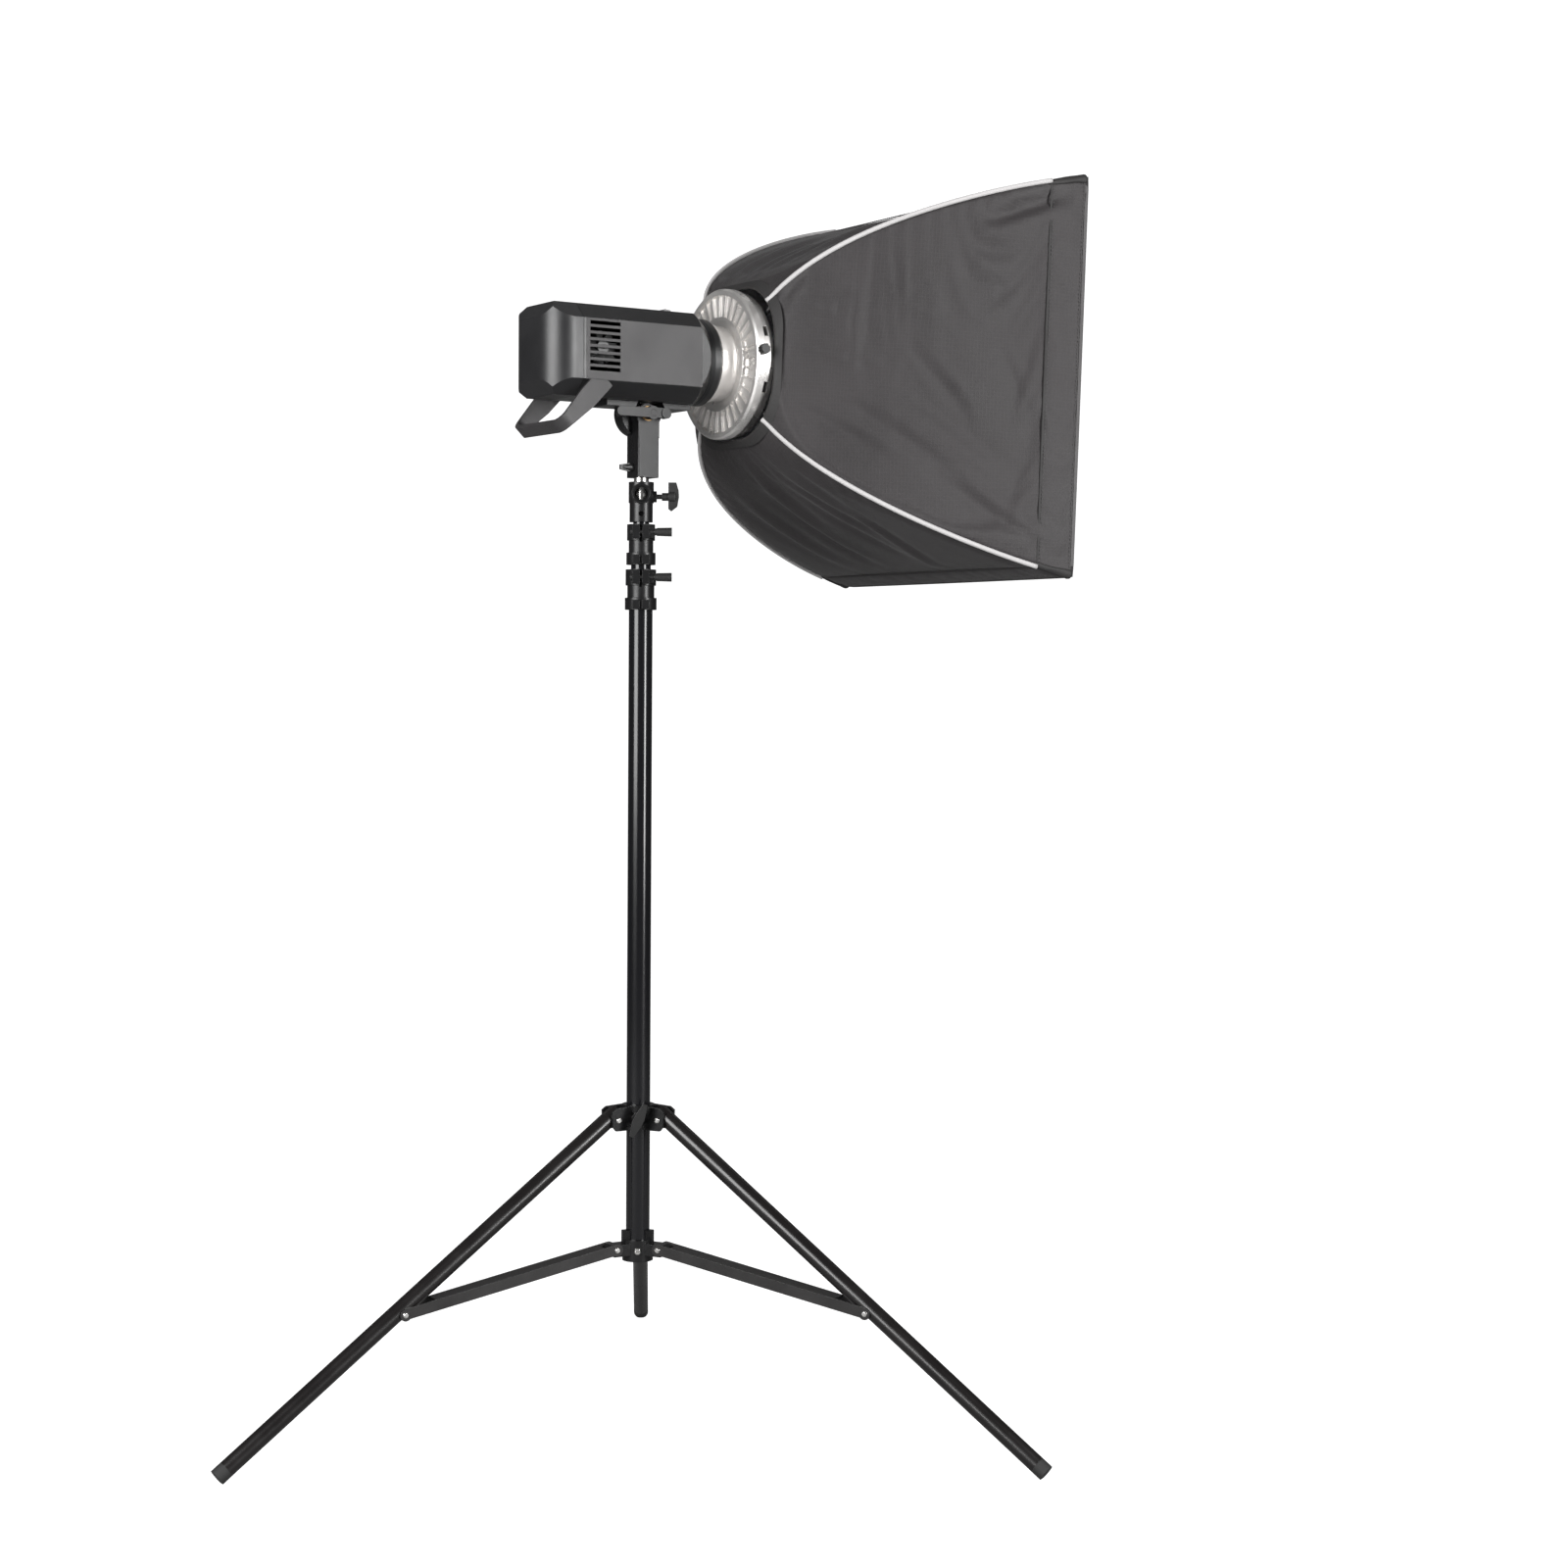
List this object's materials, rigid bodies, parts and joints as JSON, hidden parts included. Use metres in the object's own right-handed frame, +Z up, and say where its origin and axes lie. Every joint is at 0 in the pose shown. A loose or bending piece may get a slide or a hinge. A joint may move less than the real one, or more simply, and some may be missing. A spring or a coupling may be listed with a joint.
{
  "type": "studio softbox light on stand",
  "caption": "Square fabric softbox on a speed ring and a battery flash head, with a tilting bracket on a telescopic light stand with a braced folding tripod.",
  "frame": {"origin": "on the floor, under the middle of the object's bounding box, with the stand set up at its lowest height", "axes": "+Z up along the stand's column, +X the way the softbox points, +Y to the left of someone looking along +X"},
  "size_m": [1.076, 0.9848, 1.5904],
  "materials": {
    "stand_black": "gloss black anodised tube",
    "leg_black": "satin black anodised tube",
    "brace_black": "satin black painted sheet",
    "cast_black": "semi-gloss black casting",
    "bright_steel": "bright plated steel",
    "knob_black": "moulded black grip",
    "foot_rubber": "matt black plug",
    "brass": "turned brass",
    "body_black": "matt black moulding",
    "panel_grey": "textured dark grey moulding",
    "window_glass": "dark glossy window",
    "button_grey": "grey moulded cap",
    "battery_black": "matt black battery case",
    "cast_silver": "bright cast aluminium",
    "dome_glass": "frosted glass",
    "tube_glass": "clear glass",
    "board_green": "printed circuit board",
    "fan_black": "moulded fan",
    "canopy_fabric": "black ripstop outside, silver inside",
    "rod_steel": "sprung rod",
    "socket_black": "moulded socket",
    "diffuser_fabric": "white translucent cloth"
  },
  "bodies": {
    "stand_column": {"column_tube": "stand_black", "lower_hub": "cast_black", "lower_hub_rivets": "bright_steel", "hub_screws": "bright_steel", "lower_collar": "cast_black"},
    "sliding_hub": {"upper_hub": "cast_black", "upper_hub_rivets": "bright_steel"},
    "hub_wing": {"hub_lever": "knob_black"},
    "mid_section": {"mid_tube": "stand_black", "upper_collar": "cast_black"},
    "top_section": {"top_tube": "stand_black", "stand_head": "cast_black", "stand_stud": "bright_steel"},
    "lower_collar_screw": {"lower_collar_knob": "knob_black"},
    "upper_collar_screw": {"upper_collar_knob": "knob_black"},
    "head_screw": {"head_wing_screw": "knob_black"},
    "pan_bracket": {"bracket_block": "cast_black", "tilt_washer": "brass"},
    "stud_screw": {"stud_lock_screw": "knob_black"},
    "flash_head": {"tilt_knuckle": "cast_black", "tilt_bolt": "cast_black", "flash_housing": "body_black", "side_panel": "panel_grey", "control_panel": "body_black", "display_window": "window_glass", "front_bezel": "body_black", "bayonet_seat": "cast_silver", "glass_dome": "dome_glass", "flash_tube": "tube_glass", "main_board": "board_green", "ring_insert": "cast_silver"},
    "tilt_clamp": {"tilt_lever": "cast_black"},
    "dial": {"control_dial": "knob_black"},
    "power_key": {"power_button": "button_grey"},
    "test_key": {"test_button": "button_grey"},
    "battery": {"battery_pack": "battery_black"},
    "battery_catch": {"battery_latch": "button_grey"},
    "bayonet_catch": {"mount_release": "button_grey"},
    "handle": {"handle_bail": "panel_grey"},
    "fan": {"fan_rotor": "fan_black"},
    "softbox": {"speed_ring": "cast_silver", "canopy": "canopy_fabric", "rib_rods": "rod_steel", "rib_sockets": "socket_black", "front_diffuser": "diffuser_fabric", "inner_baffle": "diffuser_fabric", "corner_caps": "socket_black"},
    "ring_screw": {"ring_knob": "knob_black"},
    "brace_arm_1": {"brace_1": "brace_black", "brace_rivet_1": "bright_steel"},
    "leg_1": {"leg_tube_1": "leg_black", "leg_foot_1": "foot_rubber"},
    "brace_arm_2": {"brace_2": "brace_black", "brace_rivet_2": "bright_steel"},
    "leg_2": {"leg_tube_2": "leg_black", "leg_foot_2": "foot_rubber"},
    "brace_arm_3": {"brace_3": "brace_black", "brace_rivet_3": "bright_steel"},
    "leg_3": {"leg_tube_3": "leg_black", "leg_foot_3": "foot_rubber"}
  },
  "joints": [
    {"name": "fold_slide", "type": "slide", "parent": "stand_column", "child": "sliding_hub", "axis": [0, 0, 1], "range_m": [0, 0.48962]},
    {"name": "brace_fold_1", "type": "hinge", "parent": "stand_column", "child": "brace_arm_1", "pos_m": [0.04619, 0.03372, 0.2207], "axis": [0.8599, -0.5105, 0], "range_deg": [0, 99.36]},
    {"name": "leg_fold_1", "type": "hinge", "parent": "brace_arm_1", "child": "leg_1", "pos_m": [0.19451, 0.28352, 0.17288], "axis": [0.8599, -0.5105, 0], "range_deg": [-153.16, 0]},
    {"name": "brace_fold_2", "type": "hinge", "parent": "stand_column", "child": "brace_arm_2", "pos_m": [-0.00713, 0.0038, 0.2207], "axis": [0.0122, 0.9999, 0], "range_deg": [0, 99.36]},
    {"name": "leg_fold_2", "type": "hinge", "parent": "brace_arm_2", "child": "leg_2", "pos_m": [-0.29762, 0.00735, 0.17288], "axis": [0.0122, 0.9999, 0], "range_deg": [-153.16, 0]},
    {"name": "brace_fold_3", "type": "hinge", "parent": "stand_column", "child": "brace_arm_3", "pos_m": [0.04544, -0.02741, 0.2207], "axis": [-0.8721, -0.4894, 0], "range_deg": [0, 99.36]},
    {"name": "leg_fold_3", "type": "hinge", "parent": "brace_arm_3", "child": "leg_3", "pos_m": [0.18761, -0.28075, 0.17288], "axis": [-0.8721, -0.4894, 0], "range_deg": [-153.16, 0]},
    {"name": "hub_wing_turn", "type": "hinge", "parent": "sliding_hub", "child": "hub_wing", "pos_m": [0.02817, 0.00337, 0.3865], "axis": [-0.5, -0.866, 0], "range_deg": [0, 360]},
    {"name": "mid_section_slide", "type": "slide", "parent": "stand_column", "child": "mid_section", "axis": [0, 0, 1], "range_m": [0, 0.7]},
    {"name": "top_section_slide", "type": "slide", "parent": "mid_section", "child": "top_section", "axis": [0, 0, 1], "range_m": [0, 0.7]},
    {"name": "lower_collar_turn", "type": "hinge", "parent": "stand_column", "child": "lower_collar_screw", "pos_m": [0.01817, -0.01395, 1.0675], "axis": [0.866, -0.5, 0], "range_deg": [0, 360]},
    {"name": "upper_collar_turn", "type": "hinge", "parent": "mid_section", "child": "upper_collar_screw", "pos_m": [0.01897, -0.01256, 1.124], "axis": [0.866, -0.5, 0], "range_deg": [0, 360]},
    {"name": "head_screw_turn", "type": "hinge", "parent": "top_section", "child": "head_screw", "pos_m": [0.02817, 0.00337, 1.169], "axis": [0.866, -0.5, 0], "range_deg": [0, 360]},
    {"name": "pan_turn", "type": "hinge", "parent": "top_section", "child": "pan_bracket", "pos_m": [0.02817, 0.00337, 1.1925], "axis": [0, 0, 1], "continuous": true},
    {"name": "stud_screw_turn", "type": "hinge", "parent": "pan_bracket", "child": "stud_screw", "pos_m": [0.02817, 0.00337, 1.205], "axis": [-1, 0, 0], "range_deg": [0, 360]},
    {"name": "head_tilt", "type": "hinge", "parent": "pan_bracket", "child": "flash_head", "pos_m": [0.02817, 0.00337, 1.272], "axis": [0, 1, 0], "range_deg": [-45, 40]},
    {"name": "tilt_clamp_turn", "type": "hinge", "parent": "flash_head", "child": "tilt_clamp", "pos_m": [0.02817, 0.00337, 1.272], "axis": [0, 1, 0], "range_deg": [-12, 0]},
    {"name": "dial_turn", "type": "hinge", "parent": "flash_head", "child": "dial", "pos_m": [0.00817, 0.05857, 1.33], "axis": [0, 1, 0], "continuous": true},
    {"name": "power_button_press", "type": "slide", "parent": "flash_head", "child": "power_key", "axis": [0, -1, 0], "range_m": [0, 0.001], "stiffness_N_per_m": 600, "springref_m": -0.001},
    {"name": "test_button_press", "type": "slide", "parent": "flash_head", "child": "test_key", "axis": [0, -1, 0], "range_m": [0, 0.001], "stiffness_N_per_m": 600, "springref_m": -0.001},
    {"name": "battery_slide", "type": "slide", "parent": "flash_head", "child": "battery", "axis": [-1, 0, 0], "range_m": [0, 0.06]},
    {"name": "battery_catch_slide", "type": "slide", "parent": "battery", "child": "battery_catch", "axis": [1, 0, 0], "range_m": [0, 0.003], "stiffness_N_per_m": 500, "springref_m": -0.001},
    {"name": "bayonet_catch_slide", "type": "slide", "parent": "flash_head", "child": "bayonet_catch", "axis": [1, 0, 0], "range_m": [0, 0.003], "stiffness_N_per_m": 500, "springref_m": -0.001},
    {"name": "handle_swing", "type": "hinge", "parent": "flash_head", "child": "handle", "pos_m": [-0.06783, 0.00337, 1.296], "axis": [0, 1, 0], "range_deg": [-16, 40]},
    {"name": "fan_spin", "type": "hinge", "parent": "flash_head", "child": "fan", "pos_m": [-0.05563, -0.04663, 1.3457], "axis": [0, 1, 0], "continuous": true},
    {"name": "softbox_turn", "type": "hinge", "parent": "flash_head", "child": "softbox", "pos_m": [0.14017, 0.00337, 1.342], "axis": [1, 0, 0], "continuous": true},
    {"name": "ring_knob_turn", "type": "hinge", "parent": "softbox", "child": "ring_screw", "pos_m": [0.14617, 0.00337, 1.342], "axis": [0, -0.9945, 0.1045], "range_deg": [0, 360]}
  ],
  "couplings": [
    {"joint": "brace_fold_1", "follows": "fold_slide", "rad_per_m": 3.5414},
    {"joint": "leg_fold_1", "follows": "fold_slide", "rad_per_m": -5.4592},
    {"joint": "brace_fold_2", "follows": "fold_slide", "rad_per_m": 3.5414},
    {"joint": "leg_fold_2", "follows": "fold_slide", "rad_per_m": -5.4592},
    {"joint": "brace_fold_3", "follows": "fold_slide", "rad_per_m": 3.5414},
    {"joint": "leg_fold_3", "follows": "fold_slide", "rad_per_m": -5.4592}
  ]
}
